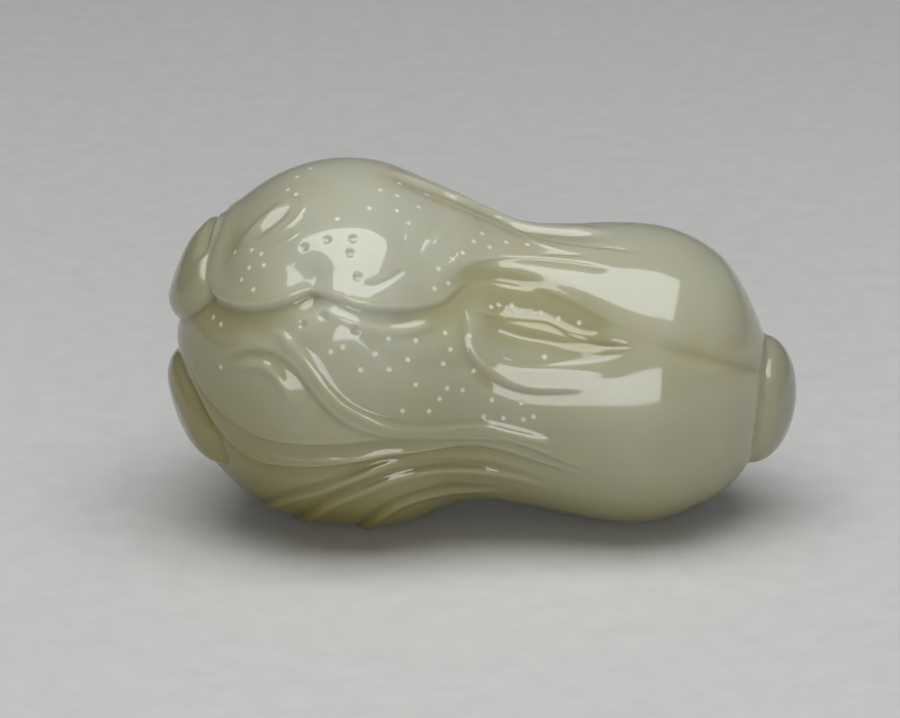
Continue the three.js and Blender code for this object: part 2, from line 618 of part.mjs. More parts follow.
// Joins the ends of short edges where the surface changes least, until only so
// many triangles are left. The triangles follow the edges of the leaves.
function thin({ points, triangles }, count) {
  const around = points.map(() => new Set());
  const sums = points.map(() => new Array(10).fill(0));
  const version = points.map(() => 0);
  triangles.forEach((triangle, index) => {
    const [one, two, three] = triangle.map((vertex) => points[vertex]);
    const cross = two.clone().sub(one).cross(three.clone().sub(one));
    const area = cross.length() / 2;
    const normal = cross.normalize();
    const plane = planeSum(normal, -normal.dot(one), area + 1e-6);
    for (const vertex of triangle) {
      around[vertex].add(index);
      plane.forEach((value, place) => {
        sums[vertex][place] += value;
      });
    }
  });

  const heap = [];
  function push(item) {
    let at = heap.push(item) - 1;
    while (at > 0) {
      const parent = (at - 1) >> 1;
      if (heap[parent].cost <= heap[at].cost) {
        break;
      }
      [heap[parent], heap[at]] = [heap[at], heap[parent]];
      at = parent;
    }
  }
  function pop() {
    const top = heap[0];
    const last = heap.pop();
    if (heap.length > 0) {
      heap[0] = last;
      let at = 0;
      for (;;) {
        let child = 2 * at + 1;
        if (child >= heap.length) {
          break;
        }
        if (child + 1 < heap.length && heap[child + 1].cost < heap[child].cost) {
          child += 1;
        }
        if (heap[at].cost <= heap[child].cost) {
          break;
        }
        [heap[child], heap[at]] = [heap[at], heap[child]];
        at = child;
      }
    }
    return top;
  }
  function neighbours(vertex) {
    const found = new Set();
    for (const index of around[vertex]) {
      triangles[index].forEach((other) => found.add(other));
    }
    found.delete(vertex);
    return found;
  }
  function offer(one, two) {
    const sum = sums[one].map((value, place) => value + sums[two][place]);
    const point = bestPoint(sum, points[one], points[two]);
    const cost = planeError(sum, point) + 1e-6 * points[one].distanceToSquared(points[two]);
    push({ one, two, point, cost, seen: version[one] + version[two] });
  }
  function keepsFacing(vertex, gone, point) {
    for (const index of around[vertex]) {
      const triangle = triangles[index];
      if (triangle.includes(gone)) {
        continue;
      }
      const before = triangle.map((corner) => points[corner]);
      const after = triangle.map((corner) => (corner === vertex ? point : points[corner]));
      const [old, now] = [before, after].map(([one, two, three]) =>
        two.clone().sub(one).cross(three.clone().sub(one)));
      const longest = Math.max(after[0].distanceTo(after[1]), after[1].distanceTo(after[2]),
        after[2].distanceTo(after[0]));
      if (old.normalize().dot(now) < 0.3 * now.length() || now.length() < 0.03 * longest * longest) {
        return false;
      }
    }
    return true;
  }

  points.forEach((point, vertex) => {
    for (const other of neighbours(vertex)) {
      if (other > vertex) {
        offer(vertex, other);
      }
    }
  });
  let left = triangles.length;
  while (left > count && heap.length > 0) {
    const { one, two, point, seen: when } = pop();
    if (version[one] < 0 || version[two] < 0 || when !== version[one] + version[two]) {
      continue;
    }
    const beside = neighbours(one);
    const shared = [...neighbours(two)].filter((vertex) => beside.has(vertex));
    if (shared.length !== 2 || !keepsFacing(one, two, point) || !keepsFacing(two, one, point)) {
      continue;
    }
    points[one] = point;
    sums[one] = sums[one].map((value, place) => value + sums[two][place]);
    for (const index of [...around[two]]) {
      if (triangles[index].includes(one)) {
        for (const vertex of triangles[index]) {
          around[vertex].delete(index);
        }
        triangles[index] = null;
        left -= 1;
      } else {
        triangles[index] = triangles[index].map((vertex) => (vertex === two ? one : vertex));
        around[one].add(index);
      }
    }
    version[two] = -1;
    version[one] += 1000003;
    for (const vertex of neighbours(one)) {
      offer(one, vertex);
    }
  }
  return { points, triangles: triangles.filter((triangle) => triangle) };
}

function solid({ points, triangles }) {
  const corners = triangles.flat().flatMap((vertex) => {
    const { x, y, z } = points[vertex];
    return [x, y, Math.abs(z) < GROUND_SNAP ? 0 : z];
  });
  const geometry = new THREE.BufferGeometry();
  geometry.setAttribute('position', new THREE.Float32BufferAttribute(corners, 3));
  return mergeVertices(geometry, 1e-5);
}

const jade = new THREE.MeshStandardMaterial({ color: '#b9bea2', roughness: 0.18, metalness: 0 });
const cabbage = new THREE.Mesh(solid(thin(carve(), TRIANGLES)), jade);
cabbage.name = 'jade_cabbage';
const group = new THREE.Group();
group.add(cabbage);

export default group;
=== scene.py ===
import math

import bpy
import numpy as np
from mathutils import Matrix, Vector


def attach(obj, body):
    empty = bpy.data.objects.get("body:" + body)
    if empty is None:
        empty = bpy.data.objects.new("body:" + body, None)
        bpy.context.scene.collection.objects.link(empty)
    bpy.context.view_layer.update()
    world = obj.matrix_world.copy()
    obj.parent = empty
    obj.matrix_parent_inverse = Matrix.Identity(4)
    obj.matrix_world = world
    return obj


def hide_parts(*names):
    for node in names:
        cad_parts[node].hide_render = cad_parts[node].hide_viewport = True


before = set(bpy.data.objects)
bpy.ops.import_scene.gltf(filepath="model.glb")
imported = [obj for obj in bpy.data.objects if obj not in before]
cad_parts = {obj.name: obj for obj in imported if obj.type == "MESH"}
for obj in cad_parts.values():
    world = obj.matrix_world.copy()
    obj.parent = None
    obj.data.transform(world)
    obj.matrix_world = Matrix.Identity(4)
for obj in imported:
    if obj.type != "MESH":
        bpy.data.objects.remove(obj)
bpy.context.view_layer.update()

# The carving is worked out in millimetres and turned into metres at the end.
MM = 0.001

# The smooth body: a long axis from the middle of the head that drops toward the
# stem stub, distances along it and radii around it.
LEAN = math.radians(7)
HEAD_MIDDLE = np.array([-10.97, 0.0, 14.4])
HEAD_LEFT, HEAD_RIGHT, HEAD_RADIUS, HEAD_DEPTH, HEAD_BLEND = 13.1, 16.8, 14.6, 0.93, 9.0
WAIST_AT, WAIST_RADIUS = 13.5, 11.2
BULB_AT, BULB_RADIUS, BULB_END, BULB_DEPTH, BULB_RISE = 22.9, 11.92, 11.1, 0.97, 0.12
STUB_AT, STUB_RADIUS, STUB_TIP, STUB_DROP, STUB_DROP_FROM = 33.0, 5.15, 3.12, 0.92, 28.5
SAG_AT, SAG_REACH, SAG_DROP = 5.5, 5.0, 0.42
LENGTH_START = -HEAD_LEFT
LENGTH_END = STUB_AT + STUB_TIP

# The view that the leaf edges are drawn in, which is also the camera's.
VIEW_UP = math.radians(20)
VIEW_FROM = 350.0
VIEW_MIDDLE_X, VIEW_MIDDLE_UP = -2.57, 12.1
VIEW_WIDTH = 72.0

# How finely the smooth body is searched and its lines are cut.
SEARCH_DEPTH, SEARCH_STEP = 20.0, 0.1
SETTLE_TURNS, SETTLE_STEP, LEAST_STEEPNESS = 8, 0.01, 0.3
NORMAL_STEP = 0.004
CURVE_STEPS = 12
LINE_SPACING = 0.5
COVER_REACH = 6.0

AXIS = np.array([math.cos(LEAN), 0.0, -math.sin(LEAN)])
RISE = np.array([math.sin(LEAN), 0.0, math.cos(LEAN)])
FRONT = np.array([0.0, -1.0, 0.0])
VIEW_RIGHT = np.array([1.0, 0.0, 0.0])
VIEW_TOP = np.array([0.0, math.sin(VIEW_UP), math.cos(VIEW_UP)])
VIEW_AHEAD = np.array([0.0, math.cos(VIEW_UP), -math.sin(VIEW_UP)])
EYE = VIEW_MIDDLE_X * VIEW_RIGHT + VIEW_MIDDLE_UP * VIEW_TOP - VIEW_FROM * VIEW_AHEAD


def smoothstep(value, low, high):
    part = np.clip((value - low) / (high - low), 0.0, 1.0)
    return part * part * (3 - 2 * part)


def mix(one, two, part):
    return one + (two - one) * part


def ellipse(distance, reach, height):
    ratio = np.clip(distance / reach, -1.0, 1.0)
    return height * np.sqrt(np.maximum(0.0, 1 - ratio * ratio))


def radius_at(a):
    """The radius above and below the axis, from the leaf tips to the stub's tip."""
    left = ellipse(a, HEAD_LEFT, HEAD_RADIUS)
    right = ellipse(a, HEAD_RIGHT, HEAD_RADIUS)
    edge = ellipse(HEAD_BLEND, HEAD_RIGHT, HEAD_RADIUS)
    slope = -((HEAD_RADIUS / HEAD_RIGHT) ** 2) * (HEAD_BLEND / edge)
    span = WAIST_AT - HEAD_BLEND
    part = np.clip((a - HEAD_BLEND) / span, 0.0, 1.0)
    neck = mix(edge, WAIST_RADIUS, smoothstep(a, HEAD_BLEND, WAIST_AT))
    neck += slope * span * part * (1 - part) ** 2
    stalk = mix(WAIST_RADIUS, BULB_RADIUS, smoothstep(a, WAIST_AT, BULB_AT))
    bulb = ellipse(a - BULB_AT, BULB_END, BULB_RADIUS)
    stub = ellipse(np.maximum(0.0, a - STUB_AT), STUB_TIP, STUB_RADIUS)
    stretches = [a < 0, a < HEAD_BLEND, a < WAIST_AT, a < BULB_AT]
    return np.select(stretches, [left, right, neck, stalk], np.maximum(bulb, stub))


def middle_at(a):
    """How far the section's middle lies above the axis."""
    sag = 1 - smoothstep(np.abs(a - SAG_AT), 0.0, SAG_REACH)
    rise = BULB_RISE * smoothstep(a, WAIST_AT, BULB_AT)
    return rise - SAG_DROP * sag - STUB_DROP * smoothstep(a, STUB_DROP_FROM, STUB_AT)


def depth_at(a):
    return mix(HEAD_DEPTH, BULB_DEPTH, smoothstep(a, HEAD_BLEND, BULB_AT))


def unit(vectors):
    return vectors / np.maximum(1e-12, np.linalg.norm(vectors, axis=-1, keepdims=True))


def body_points(places):
    """Points of the smooth body for unit vectors: x along the axis, y to the front, z upward."""
    a = mix(LENGTH_START, LENGTH_END, (places[:, 0] + 1) / 2)
    around = np.maximum(1e-9, np.hypot(places[:, 1], places[:, 2]))
    radius = radius_at(a)
    up = middle_at(a) + radius * places[:, 2] / around
    front = radius * depth_at(a) * places[:, 1] / around
    return HEAD_MIDDLE + a[:, None] * AXIS + up[:, None] * RISE + front[:, None] * FRONT


def body_normals(places):
    helper = np.where(np.abs(places[:, :1]) < 0.9, [[1.0, 0.0, 0.0]], [[0.0, 1.0, 0.0]])
    one = unit(np.cross(places, helper))
    two = unit(np.cross(one, places))

    def along(direction):
        ahead = body_points(unit(places + NORMAL_STEP * direction))
        return ahead - body_points(unit(places - NORMAL_STEP * direction))

    # The places' y runs to the front, against +Y, so this cross product points out.
    return unit(np.cross(along(two), along(one)) * -1.0)


def body_field(points):
    """Less than zero inside the smooth body, about a distance near its surface."""
    offset = points - HEAD_MIDDLE
    a = offset @ AXIS
    up = offset @ RISE - middle_at(a)
    front = offset @ FRONT / depth_at(a)
    beyond = np.maximum(np.maximum(LENGTH_START - a, a - LENGTH_END), 0.0)
    return np.hypot(up, front) - radius_at(a) + beyond


def settle(points):
    """Moves points onto the smooth body."""
    points = np.array(points, dtype=float)
    for _turn in range(SETTLE_TURNS):
        value = body_field(points)
        moved = [body_field(points + SETTLE_STEP * side) for side in np.eye(3)]
        slope = np.stack([(field - value) / SETTLE_STEP for field in moved], axis=1)
        steepness = np.maximum(LEAST_STEEPNESS, (slope * slope).sum(axis=1))
        points = points - slope * (value / steepness)[:, None]
    return points


def seen(a, v):
    """The point seen a millimetres along the apparent axis from the head's middle and v across it."""
    lean = math.atan(math.tan(LEAN) * math.cos(VIEW_UP))
    x = HEAD_MIDDLE[0] + a * math.cos(lean) + v * math.sin(lean)
    up = HEAD_MIDDLE[2] * math.cos(VIEW_UP) - a * math.sin(lean) + v * math.cos(lean)
    ray = unit(x * VIEW_RIGHT + up * VIEW_TOP - EYE)
    distances = np.arange(VIEW_FROM - SEARCH_DEPTH, VIEW_FROM + SEARCH_DEPTH, SEARCH_STEP)
    ray_points = EYE + distances[:, None] * ray
    field = body_field(ray_points)
    inside = np.nonzero(field < 0)[0]
    return ray_points[inside[0] if len(inside) else np.argmin(field)]


def around(a, degrees):
    """The point a millimetres along the axis: 0 degrees faces the front, 90 is the top and 180 the back."""
    angle = math.radians(degrees)
    radius = float(radius_at(np.array(a, dtype=float)))
    up = float(middle_at(a)) + radius * math.sin(angle)
    front = radius * float(depth_at(a)) * math.cos(angle)
    return HEAD_MIDDLE + a * AXIS + up * RISE + front * FRONT


def on_end(front, above):
    """The point of the head's end so far to the front of the axis and so far above it."""
    radius = min(HEAD_RADIUS, math.hypot(front / HEAD_DEPTH, above))
    a = -float(ellipse(radius, HEAD_RADIUS, HEAD_LEFT))
    return around(a, math.degrees(math.atan2(above, front / HEAD_DEPTH)))


def smooth_curve(points, closed):
    """A centripetal Catmull-Rom curve through the points, cut into even steps."""
    points = np.array(points)
    if closed:
        padded = np.vstack([points[-1], points, points[0], points[1]])
    else:
        padded = np.vstack([2 * points[0] - points[1], points, 2 * points[-1] - points[-2]])
    pieces = []
    for start in range(len(padded) - 3):
        p = padded[start:start + 4]
        knots = np.concatenate([[0.0], np.cumsum(np.sqrt(np.linalg.norm(np.diff(p, axis=0), axis=1)))])
        t = np.linspace(knots[1], knots[2], CURVE_STEPS)[:, None]

        def blend(one, two, low, high):
            return ((high - t) * one + (t - low) * two) / (high - low)

        first = [blend(p[k], p[k + 1], knots[k], knots[k + 1]) for k in range(3)]
        second = [blend(first[k], first[k + 1], knots[k], knots[k + 2]) for k in range(2)]
        pieces.append(blend(second[0], second[1], knots[1], knots[2]))
    fine = np.vstack(pieces)
    lengths = np.concatenate([[0.0], np.cumsum(np.linalg.norm(np.diff(fine, axis=0), axis=1))])
    even = np.linspace(0.0, lengths[-1], max(3, math.ceil(lengths[-1] / LINE_SPACING)))
    return np.stack([np.interp(even, lengths, fine[:, side]) for side in range(3)], axis=1)


class Line:
    """A line on the smooth body, with its distance to other points."""

    def __init__(self, before=(), front=(), after=(), end=(), closed=False):
        points = [around(*pair) for pair in before] + [seen(*pair) for pair in front]
        points += [around(*pair) for pair in after] + [on_end(*pair) for pair in end]
        self.path = settle(smooth_curve(points, closed))
        steps = np.linalg.norm(np.diff(self.path, axis=0), axis=1)
        self.runs = np.concatenate([[0.0], np.cumsum(steps)])
        self.middle = (self.path.min(axis=0) + self.path.max(axis=0)) / 2
        self.size = np.linalg.norm(self.path - self.middle, axis=1).max()

    def near(self, points, normals, reach):
        """Which points are within reach, their distances, their runs along the line and their sides."""
        close = np.nonzero(np.linalg.norm(points - self.middle, axis=1) < self.size + reach)[0]
        least = np.full(len(close), reach)
        run = np.zeros(len(close))
        side = np.ones(len(close))
        for index in range(len(self.path) - 1):
            start = self.path[index]
            step = self.path[index + 1] - start
            box = np.linalg.norm(points[close] - (start + step / 2), axis=1)
            some = np.nonzero(box < reach + np.linalg.norm(step))[0]
            offset = points[close[some]] - start
            part = np.clip(offset @ step / (step @ step), 0.0, 1.0)
            offset = offset - part[:, None] * step
            distance = np.linalg.norm(offset, axis=1)
            better = distance < least[some]
            chosen = some[better]
            least[chosen] = distance[better]
            run[chosen] = mix(self.runs[index], self.runs[index + 1], part[better])
            turn = (np.cross(step, offset[better]) * normals[close[chosen]]).sum(axis=1)
            side[chosen] = np.where(turn >= 0, 1.0, -1.0)
        found = least < reach
        return close[found], least[found], run[found], side[found]

    def fading(self, run, start, end):
        return smoothstep(run, 0.0, start) * smoothstep(self.runs[-1] - run, 0.0, end)


class LeafEdge(Line):
    """A leaf's edge: the leaf is on the left of the line, with a lip, and a trough lies beyond it."""

    def __init__(self, lift, sink, width, inner, outer, fade, right=False, **places):
        super().__init__(**places)
        self.lift, self.sink, self.width, self.inner, self.outer = lift, sink, width, inner, outer
        self.fade, self.right = fade, right

    def add(self, points, normals, height):
        reach = self.width + max(self.inner, self.outer)
        which, distance, run, side = self.near(points, normals, reach)
        across = distance * side * (-1 if self.right else 1)
        lip = self.lift * (1 - smoothstep(across, self.width, self.width + self.inner))
        trough = -self.sink * (1 - smoothstep(-across, self.width, self.width + self.outer))
        value = mix(trough, lip, smoothstep(across, -self.width, self.width))
        height[which] += value * self.fading(run, *self.fade)


class Wrinkle(Line):
    """A rounded ridge, or a groove where its height is below zero."""

    def __init__(self, height, width, fade, **places):
        super().__init__(**places)
        self.height, self.width, self.fade = height, width, fade

    def add(self, points, normals, height):
        which, distance, run, _side = self.near(points, normals, self.width * 3)
        section = np.exp(-((distance / self.width) ** 2))
        height[which] += self.height * section * self.fading(run, self.fade, self.fade)


class Tip(Line):
    """A thick leaf tip on the end of the head: a cushion with a round edge inside a closed outline."""

    def __init__(self, thick, rounding, width, sink, under=None, **places):
        super().__init__(closed=True, **places)
        self.thick, self.rounding, self.width, self.sink, self.under = thick, rounding, width, sink, under

    def contains(self, points):
        """Which points lie inside the outline, seen from the end of the head."""
        offset = points - HEAD_MIDDLE
        front, above = offset @ FRONT, offset @ RISE
        outline = self.path - HEAD_MIDDLE
        edge_front, edge_above = outline @ FRONT, outline @ RISE
        inside = np.zeros(len(points), dtype=bool)
        for index in range(len(outline) - 1):
            low, high = edge_above[index], edge_above[index + 1]
            crosses = (low > above) != (high > above)
            part = (above[crosses] - low) / (high - low)
            inside[crosses] ^= front[crosses] < mix(edge_front[index], edge_front[index + 1], part)
        return inside & (offset @ AXIS < 0)

    def add(self, points, normals, height):
        depth = np.where(self.contains(points), self.rounding, -self.rounding)
        which, distance, _run, _side = self.near(points, normals, self.rounding)
        depth[which] = np.where(depth[which] > 0, distance, -distance)
        part = np.clip((depth + self.width) / (self.rounding + self.width), 0.0, 1.0)
        value = self.thick * (1 - (1 - part) ** 2)
        value -= self.sink * np.exp(-(((depth + self.width) / (2 * self.width)) ** 2))
        if self.under is not None:
            over, gap, _run, way = self.under.near(points, normals, COVER_REACH)
            shown = np.ones(len(points))
            shown[over] = 1 - smoothstep(gap * way, -self.under.width, self.under.width)
            value = value * shown
        height += value


upper_leaf = LeafEdge(
    before=[[-4, 215], [-7, 190], [-8.5, 165], [-9.8, 140]],
    front=[
        [-10.6, 8.6], [-11.2, 6.4], [-11.5, 4.4], [-10.9, 2.5], [-9.2, 1.8], [-7.0, 1.9],
        [-4.8, 2.7], [-3.0, 3.6], [-1.4, 3.3], [1.0, 2.8], [4.5, 3.1], [7.2, 4.0], [9.2, 5.7],
        [11.5, 6.3],
    ],
    lift=0.2, sink=0.4, width=0.3, inner=1.8, outer=3.2, fade=[5, 5.4],
)
leaf_edges = [
    upper_leaf,
    # Its edge goes on along the stalk.
    LeafEdge(
        front=[[7.2, 4.0], [9.2, 5.7], [11.5, 6.3], [14.5, 6.1], [17.3, 5.4], [21.0, 4.0], [25.5, 2.4]],
        lift=-0.22, sink=0.4, width=0.3, inner=1.3, outer=4.6, fade=[5.4, 9],
    ),
    # It is rounded instead of lipped to the right of the front lobe.
    LeafEdge(
        front=[[3.6, 2.9], [5.4, 3.3], [7.2, 4.0], [9.2, 5.7], [11.5, 6.3], [14.5, 6.1], [16.0, 5.8]],
        lift=-0.32, sink=0.0, width=0.3, inner=1.8, outer=0.3, fade=[2.5, 3.0],
    ),
    # A long fold of the stalk above it.
    LeafEdge(
        front=[[7.8, 5.8], [9.0, 7.1], [11.0, 7.9], [14.0, 8.3], [17.5, 8.4], [20.6, 8.2]],
        lift=0.0, sink=0.1, width=0.13, inner=0.3, outer=0.9, fade=[3.5, 1.5],
    ),
    # The leaf along the top, above the front lobe and the stalk.
    LeafEdge(
        front=[
            [0.6, 13.7], [2.9, 13.5], [4.9, 13.0], [6.6, 12.6], [8.3, 12.1], [10.0, 11.6], [11.2, 11.2],
            [12.4, 10.8], [14.0, 10.6], [15.6, 10.6], [17.5, 10.7], [19.2, 10.8], [21.0, 11.0],
        ],
        lift=0.25, sink=0.22, width=0.5, inner=1.6, outer=2.0, fade=[5, 4],
    ),
    # The middle leaf.
    LeafEdge(
        front=[
            [-9.4, -2.1], [-7.6, -1.4], [-5.4, -1.5], [-3.8, -2.5], [-2.3, -4.1], [-0.7, -5.6],
            [1.4, -6.7], [4.5, -7.2], [8.0, -7.0], [11.5, -6.5], [14.5, -6.5], [18.0, -7.3], [23.3, -8.5],
        ],
        lift=0.2, sink=0.1, width=0.3, inner=1.6, outer=1.6, fade=[3, 8],
    ),
    # The round leaf below it.
    LeafEdge(
        front=[
            [-12.3, -2.6], [-11.3, -4.5], [-9.7, -6.3], [-7.7, -7.6], [-5.6, -8.4], [-3.0, -8.6],
            [0.5, -8.2], [3.7, -7.6], [6.5, -7.2],
        ],
        lift=0.2, sink=0.13, width=0.3, inner=2.2, outer=1.1, fade=[3, 5],
    ),
    # The lower leaf.
    LeafEdge(
        front=[
            [-12.2, -3.9], [-10.8, -6.2], [-9.2, -8.2], [-7.6, -9.5], [-5.6, -10.4], [-3.0, -10.5],
            [0.0, -10.1], [3.0, -9.3], [6.5, -8.3], [10.5, -7.2], [14.0, -7.3], [17.5, -7.9], [21.5, -8.7],
        ],
        lift=0.14, sink=0.25, width=0.3, inner=1.1, outer=1.3, fade=[3, 8],
    ),
    # Three folds underneath.
    LeafEdge(
        front=[[6.7, -8.7], [4.4, -9.4], [2.0, -10.6], [-0.6, -12.0], [-3.3, -13.1]],
        after=[[-5.2, -86]],
        lift=0.12, sink=0.2, width=0.25, inner=0.9, outer=0.9, fade=[3, 3],
    ),
    LeafEdge(
        front=[
            [19.3, -10.0], [16.4, -9.3], [13.5, -8.9], [10.7, -8.9], [8.1, -9.3], [5.4, -10.2],
            [2.4, -11.8], [-0.4, -13.5],
        ],
        after=[[-2.6, -84], [-4, -98]],
        lift=0.18, sink=0.25, width=0.28, inner=1.1, outer=1.1, fade=[8, 4],
    ),
    LeafEdge(
        front=[[15.0, -10.4], [11.5, -10.6], [8.5, -11.2], [6.2, -12.2], [4.2, -13.6]],
        after=[[2.2, -85], [0.4, -100]],
        lift=0.18, sink=0.25, width=0.28, inner=1.0, outer=1.0, fade=[6, 4],
    ),
    # The slot in the stalk: its left edge, then its lower border.
    LeafEdge(
        front=[
            [20.5, -1.6], [17.6, -2.0], [15.2, -2.2], [13.1, -1.9], [11.2, -0.9], [10.0, 0.4],
            [9.5, 2.3], [9.4, 4.3],
        ],
        lift=0.11, sink=0.1, width=0.25, inner=1.1, outer=1.0, fade=[5, 2.5], right=True,
    ),
    LeafEdge(
        front=[
            [24.8, 2.2], [22.4, 1.5], [20.4, 0.9], [18.5, 0.4], [16.1, -0.1], [13.7, -0.3],
            [12.2, 0.0], [11.1, 0.6], [10.5, 1.4],
        ],
        lift=0.1, sink=0.0, width=0.22, inner=1.2, outer=0.5, fade=[6, 2],
    ),
    # Two thin leaves that lie in the slot.
    LeafEdge(
        front=[
            [9.7, 3.5], [10.9, 3.5], [12.5, 3.4], [14.1, 3.4], [15.5, 3.5], [16.4, 3.3], [17.6, 2.8],
            [19.0, 2.5], [21.1, 2.4], [23.5, 2.5],
        ],
        lift=0.0, sink=0.16, width=0.2, inner=0.5, outer=3.1, fade=[2, 3],
    ),
    LeafEdge(
        front=[
            [10.4, 2.7], [11.4, 2.3], [12.7, 2.0], [14.3, 1.7], [15.9, 1.6], [17.1, 1.5], [19.5, 1.6],
            [23.9, 2.0],
        ],
        lift=-0.22, sink=0.13, width=0.18, inner=1.2, outer=1.6, fade=[2, 3],
    ),
    # Two leaves on the back.
    LeafEdge(
        before=[
            [27, 205], [22, 200], [17, 193], [12, 186], [8.5, 189], [5.5, 198], [2, 200], [-0.5, 192],
            [-2.5, 193], [-5, 203], [-8, 205], [-10.4, 190],
        ],
        lift=0.35, sink=0.45, width=0.3, inner=2.4, outer=1.8, fade=[9, 4],
    ),
    LeafEdge(
        before=[
            [24, 238], [18, 234], [12, 226], [7, 229], [3, 240], [-1, 244], [-4.5, 238],
            [-7.5, 240], [-10.4, 232],
        ],
        lift=0.28, sink=0.35, width=0.3, inner=2, outer=1.6, fade=[8, 4],
    ),
    # The thick tips on the end of the head: upper, lower and back.
    Tip(
        end=[
            [4.0, 7.7], [2.2, 9.1], [-0.4, 9.5], [-2.8, 9.1], [-4.6, 7.6], [-5.2, 5.4], [-4.6, 3.1],
            [-3.2, 1.3], [-1.0, 0.6], [1.2, 0.8], [3.6, 1.8], [5.2, 3.0], [6.1, 4.4], [5.8, 5.9],
        ],
        thick=1.15, rounding=1.8, width=0.2, sink=0.15, under=upper_leaf,
    ),
    Tip(
        end=[
            [4.4, -2.3], [5.4, -2.9], [6.7, -3.7], [7.6, -5.0], [7.9, -6.6], [7.4, -8.2], [5.9, -9.1],
            [4.0, -9.1], [1.6, -8.0], [-0.8, -6.3], [-2.2, -4.6], [-1.4, -2.9], [0.9, -2.0], [2.9, -1.8],
        ],
        thick=0.95, rounding=2.4, width=0.2, sink=0.15,
    ),
    Tip(
        end=[
            [-5.0, -0.8], [-4.9, -3.6], [-6.0, -6.4], [-8.0, -7.6], [-9.6, -6.0], [-10.4, -3.0],
            [-10.2, 0.4], [-8.8, 2.6], [-6.8, 2.0],
        ],
        thick=0.6, rounding=1.4, width=0.2, sink=0.1,
    ),
]

wrinkles = [
    # The brow under the scalloped edge.
    Wrinkle(0.2, 0.35, 2, front=[[-2.5, 2.6], [-1.2, 2.0], [0.6, 1.5], [3.0, 1.3], [5.4, 1.7], [7.3, 2.5]]),
    # The fold and the hollow of the middle leaf.
    Wrinkle(0.22, 0.38, 3, front=[
        [-6.7, 0.4], [-5.2, 0.0], [-4.1, -0.8], [-3.0, -1.7], [-2.1, -2.7], [-1.1, -3.8], [0.2, -4.9],
        [1.9, -5.7], [3.9, -6.2], [6.0, -6.3], [8.3, -6.0], [11.5, -5.4], [13.9, -5.6], [18.7, -6.1]]),
    Wrinkle(-0.12, 0.8, 3, front=[
        [-8.5, -0.3], [-6.0, -0.6], [-4.4, -1.6], [-3.0, -3.1], [-1.4, -4.8], [0.8, -6.1], [4.0, -6.7]]),
    # The rim of the round leaf.
    Wrinkle(0.3, 0.42, 2.5, front=[
        [-9.1, -3.1], [-8.0, -2.8], [-6.7, -2.6], [-5.8, -2.8], [-5.1, -3.2], [-4.5, -3.9], [-4.0, -4.8],
        [-3.8, -5.8]]),
    # Veins of the left lobe, and the hollow by its rim.
    Wrinkle(0.3, 0.55, 2.5, front=[
        [-9.7, 6.1], [-8.8, 7.2], [-8.0, 8.2], [-7.2, 9.2], [-6.3, 10.1], [-5.6, 11.1]]),
    Wrinkle(-0.12, 0.3, 1.5, front=[[-8.5, 6.7], [-7.6, 7.6], [-6.8, 8.5], [-6.0, 9.5], [-5.3, 10.5]]),
    Wrinkle(-0.25, 1.0, 3, front=[[-9.6, 8.6], [-9.9, 7.0], [-10.1, 5.4], [-9.9, 4.2]]),
    # The crease where the upper tip comes out from under the upper leaf.
    Wrinkle(
        -0.45, 0.5, 1.5, before=[[-9.9, 150], [-10.2, 125]],
        front=[[-10.9, 8.7], [-11.3, 7.0], [-11.7, 4.6]]),
    # The front lobe is fuller along its rounding.
    Wrinkle(0.2, 1.3, 2.2, front=[
        [-5.2, 5.4], [-4.5, 6.7], [-3.3, 7.7], [-1.6, 8.3], [0.3, 8.6], [1.8, 8.1], [2.6, 6.8],
        [3.4, 5.6]]),
    # The notch between two scallops, and a crease in the front lobe.
    Wrinkle(-0.5, 1.2, 2.5, front=[[-3.1, 1.2], [-3.0, 3.0], [-2.9, 4.4], [-2.6, 5.8], [-2.2, 6.8]]),
    Wrinkle(-0.1, 0.25, 1.2, front=[[0.4, 4.4], [1.6, 4.5], [2.7, 5.1], [3.7, 5.9], [4.3, 6.3]]),
    # The hollow of the slot.
    Wrinkle(-0.42, 1.15, 2.5, front=[
        [10.3, 4.5], [12.5, 4.4], [14.1, 4.35], [15.6, 4.2], [16.8, 3.8], [18.0, 3.4], [19.5, 3.1],
        [21.5, 2.9]]),
    # The seams between two stalks.
    Wrinkle(-0.18, 0.6, 4, front=[[23.0, 2.9], [26.5, 2.3], [30.0, 1.9], [33.3, 1.7], [35.0, 1.6]]),
    Wrinkle(-0.3, 0.6, 6, before=[[12, 212], [20, 214], [28, 212], [33, 208]]),
    # Veins of the back lobes and folds on the top and the back.
    Wrinkle(0.35, 0.9, 3, before=[[-8, 172], [-5, 158], [-1, 148], [3, 142]]),
    Wrinkle(0.3, 0.8, 3, before=[[-4, 184], [0, 176], [4, 168], [8, 160]]),
    Wrinkle(-0.3, 0.8, 4, before=[[4, 118], [8, 112], [13, 108], [19, 106]]),
    Wrinkle(-0.3, 0.7, 4, before=[[8, 150], [13, 146], [19, 146], [25, 150]]),
]

# Lobes that swell out between their edges: the middle, the height and the reach.
swells = [
    (seen(0.2, 4.2), 0.6, 4.2),
    (seen(-7.3, 4.2), 0.35, 2.6),
    (seen(0.0, 1.6), 0.5, 2.1),
    (seen(-5.8, -5.4), 0.12, 3.0),
    (seen(20.3, -5.6), 0.36, 5.0),
]

# Brownish tints in the stone: the place, the reach and the strength.
tints = [
    (seen(2.4, 13.4), 2.6, 0.40),
    (seen(6.6, 12.2), 2.4, 0.35),
    (seen(9.6, 10.6), 2.4, 0.35),
    (seen(13.0, 9.3), 2.6, 0.40),
    (seen(16.4, 8.9), 2.2, 0.30),
    (seen(23.4, 3.3), 1.8, 0.30),
    (seen(28.0, 2.2), 2.2, 0.30),
    (seen(31.0, 2.0), 3.2, 0.35),
    (seen(11.6, -1.6), 1.6, 0.30),
]

